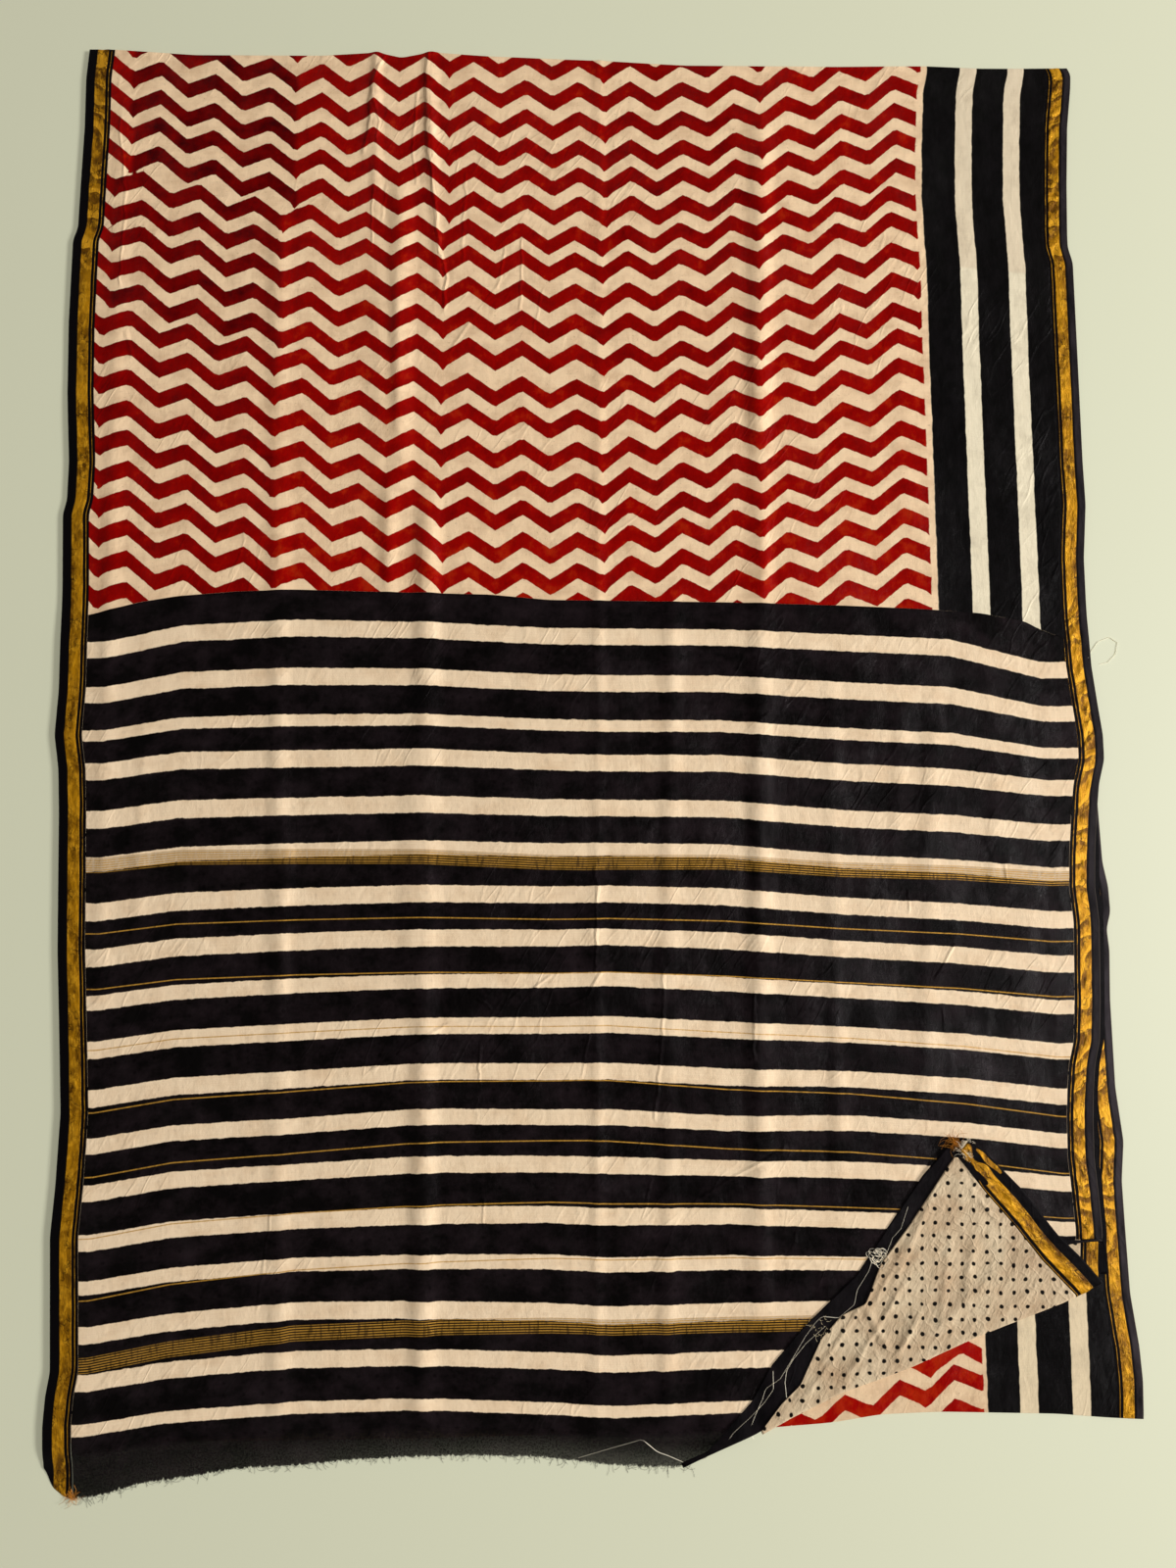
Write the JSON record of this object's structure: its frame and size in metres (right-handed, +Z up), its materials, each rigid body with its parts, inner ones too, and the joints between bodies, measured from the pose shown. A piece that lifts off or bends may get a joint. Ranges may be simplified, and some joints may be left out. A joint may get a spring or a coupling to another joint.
{
  "type": "folded saree",
  "caption": "Folded saree laid flat: chevron body over a striped pallu, woven gold borders, folded layers beneath and one corner turned up to show a dotted blouse piece",
  "frame": {"origin": "on the floor under the middle of the folded saree's box", "axes": "+X across the woven width to the right selvedge, +Y along the length to the top fold, +Z up from the floor"},
  "size_m": [1.133, 1.546, 0.0127],
  "materials": {
    "body_print": "cream silk-cotton with a brick red zigzag block print, soft satin sheen",
    "striped_cloth": "black silk-cotton with cream stripes and thin gold weft lines",
    "black_cloth": "black silk-cotton, reverse side",
    "dotted_cloth": "cream cloth with small black dots, matt and crinkled",
    "woven_border": "gold zari band beside a black selvedge",
    "folded_cloth": "edges of folded cream and black cloth"
  },
  "bodies": {
    "root": {"hidden_layers": "folded_cloth", "under_stretch": "body_print", "under_border_right": "woven_border", "blouse_piece": "dotted_cloth", "body": "body_print", "pallu": "striped_cloth", "border_left": "woven_border", "border_right": "woven_border", "pallu_turned": "black_cloth", "blouse_turned": "dotted_cloth", "blouse_turned_border": "woven_border"}
  },
  "joints": []
}
